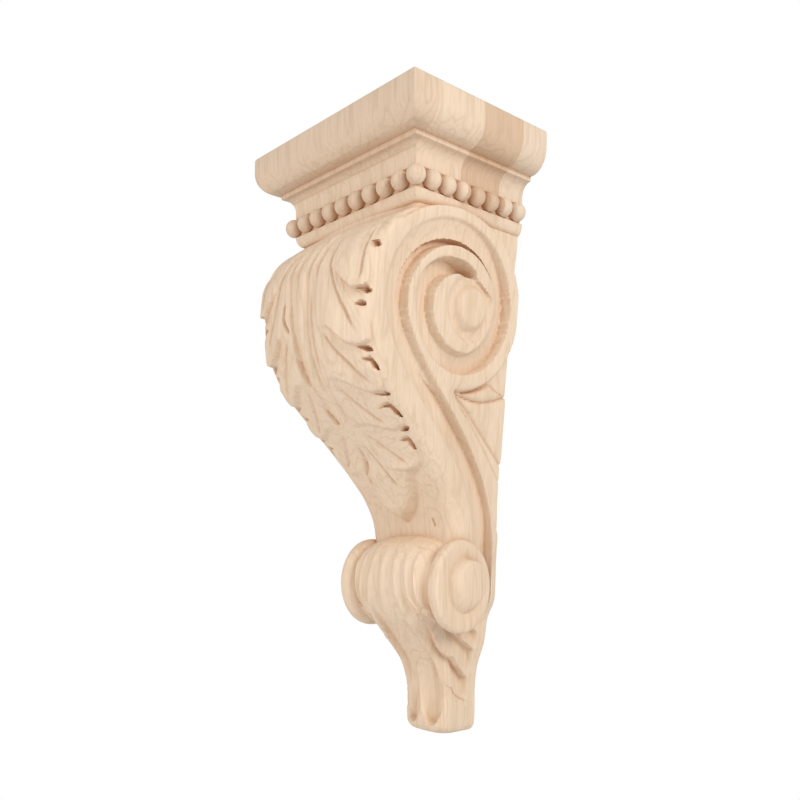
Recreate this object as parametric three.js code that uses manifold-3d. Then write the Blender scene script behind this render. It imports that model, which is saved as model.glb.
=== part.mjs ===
// Carved wooden corbel: a moulded cap over an S-scroll with an acanthus leaf, a roll and a fluted tail.
// Millimetres, +Z up. The back lies in the plane Y = 0 and the front faces -Y.
// The origin is on the back, at the height of the upper wall fixing.
import * as THREE from 'three';
import { mergeVertices } from 'three/addons/utils/BufferGeometryUtils.js';
import Module from 'manifold-3d';

// Overall sizes
const HEIGHT = 328;
const CAP_WIDTH = 135;
const CAP_DEPTH = 96;
const FIXING_DROP = 70;

// Cap mouldings, from the top down
const OVOLO_DROP = 21.5;
const OVOLO_REACH = 10;
const TOP_ROUND = 1.4;
const FILLET_HEIGHT = 2.5;
const FILLET_STEP = 1;
const COVE_DROP = 7.5;
const COVE_REACH = 5.9;
const FRIEZE_HEIGHT = 4.2;
const BEAD_RADIUS = 5.1;
const BEADS_ACROSS = 10;
const BEADS_DEEP = 7;
const BEAD_PROUD = 0.6;
const BED_DEPTH = 1.2;
const BAND_HEIGHT = 6;

// Scroll, leaf, roll and foot
const NECK_WIDTH = 95;
const NECK_DEPTH = 75.5;
const SCROLL_REACH = 105.5;
const RIDGE_HEIGHT = 4.8;
const EYE_RADIUS = 10.4;
const EYE_RISE = 2.2;
const LEAF_RISE = 6.4;
const LOBE_RISE = 3.6;
const LOBE_NOTCH = 0.13;
const ROLL_WIDTH = 76;
const ROLL_DEPTH = 44.5;
const ROLL_HEIGHT = 50.5;
const ROLL_RIM = 8;
const ROLL_EDGE = 1.6;
const BUTTON_RISE = 2;
const TAIL_WIDTH = 52;
const DISH_DEPTH = 4;
const FLUTE_DEPTH = 2.6;
const FIN_HEIGHT = 1.9;
const FOOT_WIDTH = 33;
const BEVEL = 1.1;
const SHOULDER = 3;
const SINK = 6;

const topZ = FIXING_DROP;
// Share of the ovolo that lies above its widest line
const BULGE_SHARE = 0.42;

const friezeInset = OVOLO_REACH + FILLET_STEP + COVE_REACH;
const friezeFoot = OVOLO_DROP + FILLET_HEIGHT + COVE_DROP + FRIEZE_HEIGHT;
const neckDrop = friezeFoot + 2 * BEAD_RADIUS + BAND_HEIGHT;
const bodyHeight = HEIGHT - neckDrop;

// The carving is drawn on a template whose unit is a hundredth of the drawn cap width.
// Its first number runs forward from the back, its second runs down from the top of the cap.
const TEMPLATE = { neck: 39, foot: 243, reach: 78, neckHalf: 35.2 };
const unit = SCROLL_REACH / TEMPLATE.reach;
const forward = (t) => -t * unit;
const level = (t) => topZ - neckDrop
  - (t - TEMPLATE.neck) * bodyHeight / (TEMPLATE.foot - TEMPLATE.neck);

// Smooth function through stations [position, value], without overshoot
function through(stations) {
  const slope = stations.map(([p, v], i) => {
    const a = stations[Math.max(i - 1, 0)];
    const b = stations[Math.min(i + 1, stations.length - 1)];
    const before = (v - a[1]) / (p - a[0] || 1);
    const after = (b[1] - v) / (b[0] - p || 1);
    return before * after > 0 ? 2 * before * after / (before + after) : 0;
  });
  return (p) => {
    const last = stations.length - 1;
    if (p <= stations[0][0]) return stations[0][1];
    if (p >= stations[last][0]) return stations[last][1];
    const i = stations.findIndex((s) => s[0] > p) - 1;
    const span = stations[i + 1][0] - stations[i][0];
    const t = (p - stations[i][0]) / span;
    const rise = stations[i + 1][1] - stations[i][1];
    const bend = t * (1 - t) * ((1 - t) * (slope[i] * span - rise) + t * (rise - slope[i + 1] * span));
    return stations[i][1] + t * rise + bend;
  };
}

// Front edge of the scroll's flanks, from neck to toe
const neckReach = NECK_DEPTH / unit;
const frontOf = through([
  [39, neckReach], [46, 67], [55, 75.2], [64, 78], [78, 78], [90, 75.8], [100, 71.4], [112, 61],
  [124, 49], [136, 37.5], [146, 29.5], [156, 25.6], [168, 26], [184, 30], [196, 28], [206, 21],
  [216, 15.6], [234, 15.4], [239, 15.6], [242, 14], [243, 12],
]);

// Half width of the plain flanks, as a share of the neck's half width
const flankShare = through([
  [39, 1], [55, 0.945], [88, 0.85], [120, 0.757], [145, 0.705], [168, 0.72], [186, 0.7], [195, 0.56],
  [204, 0.505], [217, 0.377], [226, 0.345],
]);
const toeShare = through([[230, 0], [236, 0.02], [240, 0.1], [242, 0.25], [243, 0.42]]);
const footShare = FOOT_WIDTH / NECK_WIDTH / flankShare(226);
const footBlend = through([[186, 1], [226, footShare]]);
const flankOf = (t) => NECK_WIDTH / 2 * flankShare(t) * footBlend(t) * (1 - toeShare(t));

// A box of quads whose corners are moved by place(u, v, w), with u from -1 to 1 and v, w from 0 to 1
function lofted(across, deep, high, place) {
  const geometry = new THREE.BoxGeometry(2, 1, 1, across, deep, high);
  const corner = geometry.attributes.position;
  for (let i = 0; i < corner.count; i += 1) {
    const spot = place(corner.getX(i), corner.getY(i) + 0.5, corner.getZ(i) + 0.5);
    corner.setXYZ(i, spot.x, spot.y, spot.z);
  }
  return geometry;
}

// Stack of level rectangles against the back, from rows [inset from the cap's edge, drop from its top]
function moulded(rows) {
  const steps = rows.length - 1;
  return lofted(1, 1, steps, (u, v, w) => {
    const [inset, drop] = rows[steps - Math.round(w * steps)];
    return new THREE.Vector3(u * (CAP_WIDTH / 2 - inset), (v - 1) * (CAP_DEPTH - inset), topZ - drop);
  });
}

function mirrored(geometry) {
  const copy = mergeVertices(bare(geometry));
  copy.scale(-1, 1, 1);
  const order = copy.index;
  for (let i = 0; i < order.count; i += 3) {
    const first = order.getX(i);
    order.setX(i, order.getX(i + 1));
    order.setX(i + 1, first);
  }
  return copy;
}

function bare(geometry) {
  const copy = geometry.clone();
  copy.deleteAttribute('normal');
  copy.deleteAttribute('uv');
  return copy;
}

// Cap: ovolo, fillet, cove and frieze, then a band under the beads
function capBlock() {
  const rows = [];
  const bulge = OVOLO_DROP * BULGE_SHARE;
  const [roundSteps, ovoloSteps, coveSteps, bandSteps] = [2, 5, 4, 3];
  for (let i = 0; i <= roundSteps; i += 1) {
    const turn = i / roundSteps * Math.PI / 2;
    rows.push([TOP_ROUND * (1 - Math.sin(turn)), bulge * (1 - Math.cos(turn))]);
  }
  for (let i = 1; i <= ovoloSteps; i += 1) {
    const turn = i / ovoloSteps * Math.PI / 2;
    rows.push([OVOLO_REACH * (1 - Math.cos(turn)), bulge + (OVOLO_DROP - bulge) * Math.sin(turn)]);
  }
  const ledge = OVOLO_REACH + FILLET_STEP;
  const coveTop = OVOLO_DROP + FILLET_HEIGHT;
  rows.push([ledge, OVOLO_DROP], [ledge, coveTop]);
  for (let i = 1; i <= coveSteps; i += 1) {
    const turn = i / coveSteps * Math.PI / 2;
    rows.push([ledge + COVE_REACH * Math.sin(turn), coveTop + COVE_DROP * (1 - Math.cos(turn))]);
  }
  rows.push([friezeInset, friezeFoot]);
  const bedInset = friezeInset + BED_DEPTH;
  const bandTop = friezeFoot + 2 * BEAD_RADIUS;
  const neckInset = (CAP_WIDTH - NECK_WIDTH) / 2;
  rows.push([bedInset, friezeFoot + BED_DEPTH], [bedInset, bandTop - BED_DEPTH], [friezeInset, bandTop]);
  for (let i = 1; i <= bandSteps; i += 1) {
    const turn = i / bandSteps * Math.PI / 2;
    const inset = friezeInset + (neckInset - friezeInset) * (1 - Math.cos(turn));
    rows.push([inset, bandTop + BAND_HEIGHT * Math.sin(turn)]);
  }
  return moulded(rows);
}

function beads() {
  const inset = friezeInset - BEAD_PROUD;
  const halfRow = CAP_WIDTH / 2 - inset;
  const front = -(CAP_DEPTH - inset);
  const z = topZ - friezeFoot - BEAD_RADIUS;
  const places = [];
  for (let i = 0; i < BEADS_ACROSS; i += 1) {
    places.push([-halfRow + 2 * halfRow * i / (BEADS_ACROSS - 1), front]);
  }
  for (let i = 1; i <= BEADS_DEEP; i += 1) {
    const y = front * (1 - i / (BEADS_DEEP + 0.5));
    places.push([-halfRow, y], [halfRow, y]);
  }
  return places.map(([x, y]) => {
    const bead = new THREE.SphereGeometry(BEAD_RADIUS, 8, 6);
    bead.rotateX(Math.PI / 2);
    return bead.translate(x, y, z);
  });
}

// Plain core that carries the carving, from inside the cap down to the toe
function core() {
  const rows = 40;
  return lofted(6, 2, rows, (u, v, w) => {
    const t = TEMPLATE.neck + (TEMPLATE.foot - TEMPLATE.neck) * (1 - w);
    const half = flankOf(t);
    const bow = (1 - v) * (LEAF_RISE * (1 - u * u) / 2 - SHOULDER * u ** 8);
    const z = w === 1 ? level(t) + SINK : level(t);
    return new THREE.Vector3(u * half, (1 - v) * forward(frontOf(t)) - bow, z);
  });
}

// Points along a scroll line: quarter arcs that join its outermost points, each [forward, down].
// The first arc leaves upright, and every arc ends square to the way it began.
function quarterArcs(extremes, steps) {
  const points = [];
  for (let k = 0; k + 1 < extremes.length; k += 1) {
    const [from, to] = [extremes[k], extremes[k + 1]];
    for (let i = k === 0 ? 0 : 1; i <= steps; i += 1) {
      const turn = i / steps * Math.PI / 2;
      const [slow, quick] = [1 - Math.cos(turn), Math.sin(turn)];
      const [a, b] = k % 2 === 0 ? [slow, quick] : [quick, slow];
      points.push([from[0] + (to[0] - from[0]) * a, from[1] + (to[1] - from[1]) * b]);
    }
  }
  return points;
}

// Points up the S, from the roll to the volute's front, leaving and arriving upright
function sweep(foot, head, pull, steps) {
  const curve = new THREE.CubicBezierCurve(
    new THREE.Vector2(...foot), new THREE.Vector2(foot[0], foot[1] - pull[0]),
    new THREE.Vector2(head[0], head[1] + pull[1]), new THREE.Vector2(...head),
  );
  return curve.getPoints(steps).map((p) => [p.x, p.y]);
}

// Raised ground of one closed outline, standing on the right flank
function raised(outline, height) {
  const shape = new THREE.Shape(outline.map(([y, t]) => new THREE.Vector2(forward(y), level(t))));
  const depth = SINK + height - BEVEL;
  const geometry = new THREE.ExtrudeGeometry(shape, {
    depth, curveSegments: 1, bevelEnabled: true, bevelThickness: BEVEL, bevelSize: BEVEL,
    bevelOffset: -BEVEL, bevelSegments: 1,
  });
  const corner = geometry.attributes.position;
  for (let i = 0; i < corner.count; i += 1) {
    const t = TEMPLATE.neck + (level(TEMPLATE.neck) - corner.getY(i))
      * (TEMPLATE.foot - TEMPLATE.neck) / bodyHeight;
    const x = flankOf(t) - SINK + corner.getZ(i);
    corner.setXYZ(i, x, corner.getX(i), corner.getY(i));
  }
  return geometry;
}

// The lip runs up the S, over the volute and in under it
function lip() {
  const rise = [];
  for (let t = 158; t > 78; t -= 8) {
    rise.push([frontOf(t) - 1.2, t]);
  }
  const over = quarterArcs([[76.6, 74], [36, 39.6], [0.3, 70], [31, 104.5]], 6);
  const inner = sweep([16.5, 158], [70, 74], [33, 28], 9);
  const under = quarterArcs([[70, 74], [36, 42.6], [8.5, 71], [31, 98]], 6);
  const back = [...inner, ...under.slice(1)].reverse();
  return raised([...rise, ...over, ...back], RIDGE_HEIGHT);
}

// The second fold rises from the back edge, beside the groove, and turns once inside the volute
function fold() {
  const outer = sweep([7.5, 160], [61.5, 75], [36, 23], 9);
  const crest = quarterArcs([[61.5, 75], [35, 50.8], [14, 68]], 5).slice(1);
  const inside = quarterArcs([[55.5, 73], [36.5, 55.9]], 5).reverse();
  const belly = quarterArcs([[55.5, 73], [31, 98]], 5).slice(1);
  const rear = [[31, 104.5], [20, 118.5], [12, 133], [6, 145], [3.2, 160]];
  return raised([...outer, ...crest, [25, 61], ...inside, ...belly, ...rear], RIDGE_HEIGHT);
}

function whorl() {
  const curl = quarterArcs([[14, 68], [30, 90.5]], 5);
  const turn = quarterArcs([[49, 74], [30, 90.5]], 5).reverse();
  const top = quarterArcs([[49, 74], [33, 60.9]], 5).slice(1);
  return raised([...curl, ...turn.slice(1), ...top, [24, 60.6], [17, 62]], RIDGE_HEIGHT);
}

// Button in the middle of the whorl, as [share of its radius, height] pairs
const EYE_PLACE = [24.5, 70.5];

function eye() {
  const profile = [[0, 0], [1, 0], [0.92, SINK], [0.79, SINK + 0.9 * EYE_RISE], [0, SINK + EYE_RISE]];
  const button = new THREE.LatheGeometry(profile.map(([r, x]) => new THREE.Vector2(r * EYE_RADIUS, x)), 14);
  button.rotateZ(-Math.PI / 2);
  const [y, t] = EYE_PLACE;
  return button.translate(flankOf(t) + RIDGE_HEIGHT - SINK, forward(y), level(t));
}

// Leaf on the front: five pairs of lobes beside a midrib, and a tongue that curls over the lower scroll
const LOBES = [
  { root: 41, drop: 4, edge: 33 },
  { root: 53, drop: 22, edge: 34 },
  { root: 77, drop: 16.5, edge: 33.5 },
  { root: 96.5, drop: 12.5, edge: 31 },
  { root: 113, drop: 9, edge: 28.5 },
  { root: 127.5, drop: 7.5, edge: 24.5 },
  { root: 157, drop: -2, edge: 12 },
];
const lobeLine = (lobe, u) => {
  const away = Math.abs(u);
  return lobe.root + lobe.drop * (away + Math.sin(away * Math.PI / 2)) / 2;
};

// The leaf's edge falls away steeply from this share of its half width
const EDGE_FROM = 0.86;
const EDGE_SLOPE = 22;

function leaf() {
  const rowsPerLobe = 5;
  const count = LOBES.length - 1;
  const rows = count * rowsPerLobe;
  return lofted(18, 1, rows, (u, v, w) => {
    const row = (1 - w) * rows;
    const k = Math.min(Math.floor(row / rowsPerLobe + 1e-6), count - 1);
    const part = Math.min(row / rowsPerLobe - k, 1);
    const share = part < 0.01 ? 0.04 : part;
    const t = THREE.MathUtils.lerp(lobeLine(LOBES[k], u), lobeLine(LOBES[k + 1], u), share);
    const notch = 1 - LOBE_NOTCH * (1 - Math.sin(Math.PI * share) ** 0.6);
    const edge = THREE.MathUtils.lerp(LOBES[k].edge, LOBES[k + 1].edge, share ** 2) * notch;
    const away = Math.abs(u);
    const fullness = share > 0.9 ? 1 : share * 0.6 + 0.4;
    const swell = Math.sin(Math.PI * Math.min(share * 0.5 + 0.06, 0.5)) * fullness;
    const lobe = LOBE_RISE * swell * Math.sin(Math.PI * Math.min(away * 0.85 + 0.1, 0.78));
    const crown = LEAF_RISE * (1 - away ** 3);
    const shoulder = Math.max(0, away - EDGE_FROM) * EDGE_SLOPE;
    const front = forward(frontOf(t)) - crown - lobe + shoulder;
    const tuck = forward(frontOf(t)) + SINK;
    const x = u * edge * NECK_WIDTH / 2 / TEMPLATE.neckHalf;
    return new THREE.Vector3(x, v === 0 ? front : tuck, level(t));
  });
}

// Turned form on a crosswise axis, from [radius share, x] pairs, set at a place on the template
function turned(profile, sides, size, place) {
  const geometry = new THREE.LatheGeometry(profile.map(([r, x]) => new THREE.Vector2(r, x)), sides);
  geometry.rotateZ(-Math.PI / 2);
  geometry.scale(1, size[0], size[1]);
  return geometry.translate(0, forward(place[0]), level(place[1]));
}

// Roll: a drum with two oval discs
const ROLL_PLACE = [25, 180.5];
const ROLL_SIZE = [ROLL_DEPTH / 2, ROLL_HEIGHT / 2];

function roll() {
  const half = ROLL_WIDTH / 2;
  const inside = half - ROLL_RIM;
  const side = [
    [0, half], [0.9, half], [1, half - ROLL_EDGE], [1, inside + ROLL_EDGE], [0.84, inside - ROLL_EDGE],
  ];
  const profile = [...side.map(([r, x]) => [r, -x]), ...side.slice().reverse()];
  return turned(profile, 28, ROLL_SIZE, ROLL_PLACE);
}

// Each disc's face is dished off centre, towards the back, and a button stands in the dish
const DISH_PLACE = [21.5, 179.5];
const BUTTON_PLACE = [19, 179.5];

function dish() {
  const face = ROLL_WIDTH / 2;
  const profile = [[0, face - DISH_DEPTH], [0.5, face - DISH_DEPTH], [0.72, face + 1], [0, face + 1]];
  return turned(profile, 24, ROLL_SIZE, DISH_PLACE);
}

function rollButton() {
  const face = ROLL_WIDTH / 2;
  const top = face + BUTTON_RISE;
  const profile = [[0, face - SINK], [0.5, face - SINK], [0.46, face], [0.4, top - BUTTON_RISE / 4], [0, top]];
  return turned(profile, 16, ROLL_SIZE, BUTTON_PLACE);
}

// Tail: a fluted tongue that curls over the roll and sweeps down to the foot
const tailFront = through([
  [161, 30], [165, 37.5], [171, 41.2], [180, 42.8], [190, 41], [196, 37], [205, 29], [214, 22],
  [222, 19], [236, 17.6],
]);
const tailTuck = through([[161, 3.7], [185, 4.4], [200, 8.5], [216, 5.2], [236, 2.4]]);
const fluteGap = through([[161, 5.9], [186, 6.2], [200, 8.1], [214, 11.1], [236, 12.6]]);
const TAIL_ROOT = 9;
const TAIL_ROUND = 0.85;
const TAIL_PROUD = 0.4;

function tail() {
  return lofted(24, 1, 18, (u, v, w) => {
    const t = THREE.MathUtils.lerp(161, 238, 1 - w);
    const half = Math.min(TAIL_WIDTH / 2, flankOf(t) + TAIL_PROUD);
    const x = u * half;
    const fade = THREE.MathUtils.smoothstep(t, 160, 168) * (1 - THREE.MathUtils.smoothstep(t, 230, 237));
    const flute = FLUTE_DEPTH * (1 - Math.cos(x / unit / fluteGap(t) * 2 * Math.PI)) / 2;
    const wrap = (1 - Math.sqrt(1 - TAIL_ROUND * u * u)) * tailTuck(t) * unit;
    const front = forward(tailFront(t)) + flute * fade + wrap;
    return new THREE.Vector3(x, v === 0 ? front : forward(TAIL_ROOT), level(t));
  });
}

// Fins of the tail that sweep back across each flank, as [tip, root, width]
function fins() {
  const blades = [
    [[6, 208.5], [17, 200], 5], [[5.5, 217], [15, 209.5], 4.5], [[6, 229], [12.5, 221.5], 5.5],
  ];
  return blades.map(([tip, root, width]) => raised([
    tip, [tip[0] + 0.4, tip[1] - width * 0.8], [tip[0] + 4, tip[1] - width - 2],
    [root[0], root[1] - width / 2], [root[0], root[1] + width / 2], [tip[0] + 6, tip[1] - 3],
  ], FIN_HEIGHT));
}

const wasm = await Module();
wasm.setup();

function solid(geometry) {
  const welded = mergeVertices(bare(geometry), 1e-3);
  return new wasm.Manifold(new wasm.Mesh({
    numProp: 3,
    vertProperties: new Float32Array(welded.attributes.position.array),
    triVerts: new Uint32Array(welded.index.array),
  }));
}

function asGeometry(manifold) {
  const mesh = manifold.getMesh();
  const geometry = new THREE.BufferGeometry();
  geometry.setAttribute('position', new THREE.BufferAttribute(mesh.vertProperties, 3));
  geometry.setIndex(new THREE.BufferAttribute(mesh.triVerts, 1));
  geometry.computeVertexNormals();
  return geometry;
}

const bothSides = (forms) => [...forms, ...forms.map(mirrored)];
const join = (whole, form) => whole.add(solid(form));
const cut = (whole, form) => whole.subtract(solid(form));

const dishedRoll = bothSides([dish()]).reduce(cut, solid(roll()));
const centred = [...beads(), leaf(), tail()].reduce(join, solid(core()).add(dishedRoll));
const flanked = bothSides([lip(), fold(), whorl(), eye(), rollButton(), ...fins()]).reduce(join, centred);
const carved = flanked.add(solid(capBlock()));

const wood = new THREE.MeshStandardMaterial({ color: 0xe2c39a, roughness: 0.62, metalness: 0 });
const corbel = new THREE.Mesh(asGeometry(carved), wood);
corbel.name = 'corbel';

const part = new THREE.Group();
part.add(corbel);

export default part;
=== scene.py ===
# %% [markdown]
# # A carved wooden corbel
# The real corbel is one block, glued up from upright boards and carved: a moulded cap with a row of beads,
# an S-scroll whose flanks end in volutes, an acanthus leaf down the front, a roll and a fluted foot.
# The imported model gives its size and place. This script models the same solid again with its fine carving,
# gives it a wood made of shader nodes, and lights it.

# %% Load the frame
import math
import bmesh
import bpy
import numpy as np
from mathutils import Matrix, Vector


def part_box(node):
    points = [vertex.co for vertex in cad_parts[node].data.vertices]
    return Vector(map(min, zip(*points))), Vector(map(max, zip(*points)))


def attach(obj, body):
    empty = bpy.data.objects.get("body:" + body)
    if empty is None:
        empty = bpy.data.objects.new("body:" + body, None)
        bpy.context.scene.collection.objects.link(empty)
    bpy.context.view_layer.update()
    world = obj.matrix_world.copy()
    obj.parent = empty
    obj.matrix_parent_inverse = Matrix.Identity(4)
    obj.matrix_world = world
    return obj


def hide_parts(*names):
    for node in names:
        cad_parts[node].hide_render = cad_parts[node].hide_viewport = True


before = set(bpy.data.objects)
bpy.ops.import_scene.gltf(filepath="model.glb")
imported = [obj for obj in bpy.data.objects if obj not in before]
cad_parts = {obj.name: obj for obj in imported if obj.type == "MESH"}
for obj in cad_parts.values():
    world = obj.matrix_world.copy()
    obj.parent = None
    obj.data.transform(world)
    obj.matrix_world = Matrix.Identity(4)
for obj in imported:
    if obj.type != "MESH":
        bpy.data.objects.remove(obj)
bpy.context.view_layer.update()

LOW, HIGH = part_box("corbel")
print("corbel box in metres:", [round(c, 4) for c in LOW], [round(c, 4) for c in HIGH])


# %% [markdown]
# ## Measures
# A carver draws a corbel once, full size, and cuts everything to that drawing. Here the drawing's unit is a
# hundredth of the cap's width. Its first number runs forward from the wall and its second one down from the
# top of the cap, so one function turns each of them into metres.

# %% The drawing and its units
MM = 0.001
CAP_HALF = float(HIGH[0])
TOP = float(HIGH[2])
FOOT = float(LOW[2])
CAP_DEPTH = 96 * MM
NECK_HALF = 47.5 * MM
NECK_DROP = 51.9 * MM
DRAWN = {"neck": 39.0, "foot": 243.0, "reach": 78.0}
REACH = 105.5 * MM
BODY = TOP - NECK_DROP - FOOT
UNIT = REACH / DRAWN["reach"]


def forward(t):
    return -t * UNIT


def level(t):
    return TOP - NECK_DROP - (t - DRAWN["neck"]) * BODY / (DRAWN["foot"] - DRAWN["neck"])


print("one drawing unit is", round(UNIT / MM, 3), "mm forward and",
      round((level(0) - level(1)) / MM, 3), "mm down")


# %% A smooth line through chosen stations
def through(stations):
    """Smooth function through [place, value] stations that never swings past them."""
    place = np.array([s[0] for s in stations], float)
    value = np.array([s[1] for s in stations], float)
    step = np.diff(value) / np.diff(place)
    before = np.concatenate([[0.0], step])
    after = np.concatenate([step, [0.0]])
    same = before * after > 0
    slope = np.where(same, 2 * before * after / np.where(same, before + after, 1.0), 0.0)

    def at(p):
        p = np.clip(p, place[0], place[-1])
        i = np.clip(np.searchsorted(place, p, side="right") - 1, 0, len(place) - 2)
        span = place[i + 1] - place[i]
        rise = value[i + 1] - value[i]
        k = (p - place[i]) / span
        bend = k * (1 - k) * ((1 - k) * (slope[i] * span - rise) + k * (rise - slope[i + 1] * span))
        return value[i] + k * rise + bend

    return at


def smooth(low, high, x):
    k = np.clip((x - low) / (high - low), 0, 1)
    return k * k * (3 - 2 * k)


# %% Outline of the scroll
FRONT = through([
    (39, 55.8), (46, 65.6), (55, 73.4), (64, 77), (78, 77.6), (90, 75.6), (100, 71.4), (112, 61.4),
    (124, 49.8), (136, 38.8), (146, 31.2), (156, 27.2), (168, 26), (182, 26.4), (186, 33), (190, 39),
    (194, 37.4), (198, 34), (205, 28.6), (214, 22.8), (222, 20.8), (236, 20), (239, 20), (241, 19.2),
    (242.3, 17.8), (243, 16),
])
FLANK_SHARE = through([
    (39, 1), (55, .945), (88, .85), (120, .757), (145, .705), (158, .69), (168, .665), (186, .64), (195, .55),
    (204, .505), (217, .377), (226, .348), (234, .35),
])
TOE = through([(230, 0), (236, .01), (240, .05), (242, .14), (243, .25)])
CORNER = through([(39, 3), (50, 5), (60, 6.5), (100, 6), (112, 7), (124, 9), (140, 10), (158, 10), (172, 7),
                  (190, 9), (198, 13), (208, 12), (222, 9), (243, 8)])


def flank(t):
    return NECK_HALF * FLANK_SHARE(t) * (1 - TOE(t))


print("half width at the volute:", round(float(flank(70)) / MM, 1), "mm")


# %% [markdown]
# ## The volute on each flank
# Two lines make the scroll: the inner edge of each raised band, and the groove at the foot of the next one.
# Both climb from the roll, follow the S and turn in together to a pocket over the eye. The hollow between
# them is a cove, and all other ground inside the outer edge stands as a raised band. A carver would cut the
# groove first and round the cove down to it. Here the same idea becomes a height for each point: how far it
# lies between the two lines says how deep the cove is there.

# %% Scroll lines
QUARTER_STEPS = 14
SWEEP_STEPS = 30
SWEEP_FOOT = 161
SCROLL_FOOT = 190


def quarters(corners):
    """Quarter arcs through the outermost points [forward, down] of a scroll line, which starts upright."""
    points = [corners[0]]
    for k in range(len(corners) - 1):
        (y0, t0), (y1, t1) = corners[k], corners[k + 1]
        for i in range(1, QUARTER_STEPS + 1):
            turn = i / QUARTER_STEPS * math.pi / 2
            slow, quick = 1 - math.cos(turn), math.sin(turn)
            a, b = (slow, quick) if k % 2 == 0 else (quick, slow)
            points.append((y0 + (y1 - y0) * a, t0 + (t1 - t0) * b))
    return points


def sweep(foot, head, pull):
    """Points up the S from foot to head, which leave and arrive upright."""
    bends = [foot, (foot[0], foot[1] - pull[0]), (head[0], head[1] + pull[1]), head]
    points = []
    for i in range(SWEEP_STEPS):
        k = i / SWEEP_STEPS
        share = [(1 - k) ** 3, 3 * k * (1 - k) ** 2, 3 * k * k * (1 - k), k ** 3]
        points.append(tuple(sum(s * b[c] for s, b in zip(share, bends)) for c in range(2)))
    return points


def scroll_line(start, pull, turns):
    """A line from under the roll up the S and round the volute."""
    rise = sweep((start, SWEEP_FOOT), turns[0], pull)
    return np.array([(start, SCROLL_FOOT)] + rise + quarters(turns))


EDGE_TURNS = [(70, 74), (36, 41.8), (4.8, 70.5), (31, 98), (55.5, 73), (36.5, 55.9), (25.5, 60.5)]
GROOVE_TURNS = [(60, 75), (35, 50.8), (14, 68), (30, 90.5), (47.5, 74), (33, 60.7), (25.5, 60.5)]
EDGE = scroll_line(start=16.5, pull=(33, 28), turns=EDGE_TURNS)
GROOVE = scroll_line(start=4.6, pull=(36, 23), turns=GROOVE_TURNS)
WHORL = GROOVE[1 + SWEEP_STEPS + 2 * QUARTER_STEPS:]
OUTER = np.array(
    [(95, 210), (95, 74)] + quarters([(76.6, 74), (36, 37), (-1.5, 70), (31, 104.5)])
    + [(20, 118.5), (12, 133), (6, 145), (2, 155), (-1.5, 161), (-1.5, 210)])
print("scroll lines:", len(EDGE), len(GROOVE), "points")


# %% Distance to a line, and inside or outside of an outline
def near(path, y, t):
    """Distance to a path, and how far along it, from 0 to 1, the nearest place lies."""
    best = np.full(y.shape, np.inf)
    along = np.zeros(y.shape)
    leg = np.hypot(*np.diff(path, axis=0).T)
    start = np.concatenate([[0], np.cumsum(leg)])
    for i, length in enumerate(leg):
        dy, dt = (path[i + 1] - path[i]) / length
        k = np.clip((y - path[i, 0]) * dy + (t - path[i, 1]) * dt, 0, length)
        gap = np.hypot(y - path[i, 0] - k * dy, t - path[i, 1] - k * dt)
        nearer = gap < best
        best = np.where(nearer, gap, best)
        along = np.where(nearer, (start[i] + k) / start[-1], along)
    return best, along


def inside(outline, y, t):
    found = np.zeros(y.shape, bool)
    last = outline[-1]
    for here in outline:
        if here[1] != last[1]:
            crosses = (here[1] > t) != (last[1] > t)
            at = (last[0] - here[0]) * (t - here[1]) / (last[1] - here[1]) + here[0]
            found ^= crosses & (y < at)
        last = here
    return found


def along_edge(place):
    """How far along EDGE the point nearest to a place lies."""
    return float(near(EDGE, np.array([place[0]]), np.array([place[1]]))[1][0])


# %% Heights along the scroll lines, in millimetres over the plain flank
BAND = 4.8
EDGE_PLACES = [(16.5, 161), (24, 136), (50, 111), (70, 74), (36, 41.8), (4.8, 70.5), (31, 98), (55.5, 73),
               (36.5, 55.9), (25.5, 60.5)]
EDGE_HEIGHTS = [2.6, 3.4, 3.8, 4.0, 3.2, -1.6, -0.6, 2.8, -2.4, -6]
GROOVE_HEIGHTS = [-3.2, -2.2, -1, -0.6, 1.8, 4.6, 1.6, -0.8, -3.2, -6]
EDGE_SPOTS = [along_edge(p) for p in EDGE_PLACES]
edge_height = through(list(zip(EDGE_SPOTS, EDGE_HEIGHTS)))
groove_height = through(list(zip(EDGE_SPOTS, GROOVE_HEIGHTS)))
print("cove's floor by its edge, on the S:", EDGE_HEIGHTS[2], "mm, in the pocket:", EDGE_HEIGHTS[-1], "mm")


# %% [markdown]
# ## The eye and the fan leaf
# Inside the whorl the ground steps down to a flat ring, and a low domed button stands in it. Distances from
# the button's centre shape both. Behind the S, under the volute, a small fan of two pointed leaflets fills
# the corner. Its veins are lines on the drawing, and the wood swells between them.

# %% The eye and its button
EYE = (26.8, 72.6)
EYE_SQUASH = 0.97
EYE_GROUND = 3.2
EYE_RING = {"rise": 1.9, "inner": 10.8, "outer": 13.6}
BUTTON = {"rise": 3.5, "top": 6.3, "foot": 9.2}
DOME = {"rise": 0.5, "radius": 6.5}


def eye_height(y, t):
    """The whorl's inner ground and its button, and how far each point is from the button's centre."""
    away = np.hypot(y - EYE[0], (t - EYE[1]) * EYE_SQUASH)
    ground = EYE_GROUND + EYE_RING["rise"] * smooth(EYE_RING["inner"], EYE_RING["outer"], away)
    dome = DOME["rise"] * (1 - (np.minimum(away, DOME["radius"]) / DOME["radius"]) ** 2)
    button = BUTTON["rise"] * (1 - smooth(BUTTON["top"], BUTTON["foot"], away)) + dome
    return ground + button, away


print("button's height over its ring:", BUTTON["rise"] + DOME["rise"], "mm")


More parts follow.
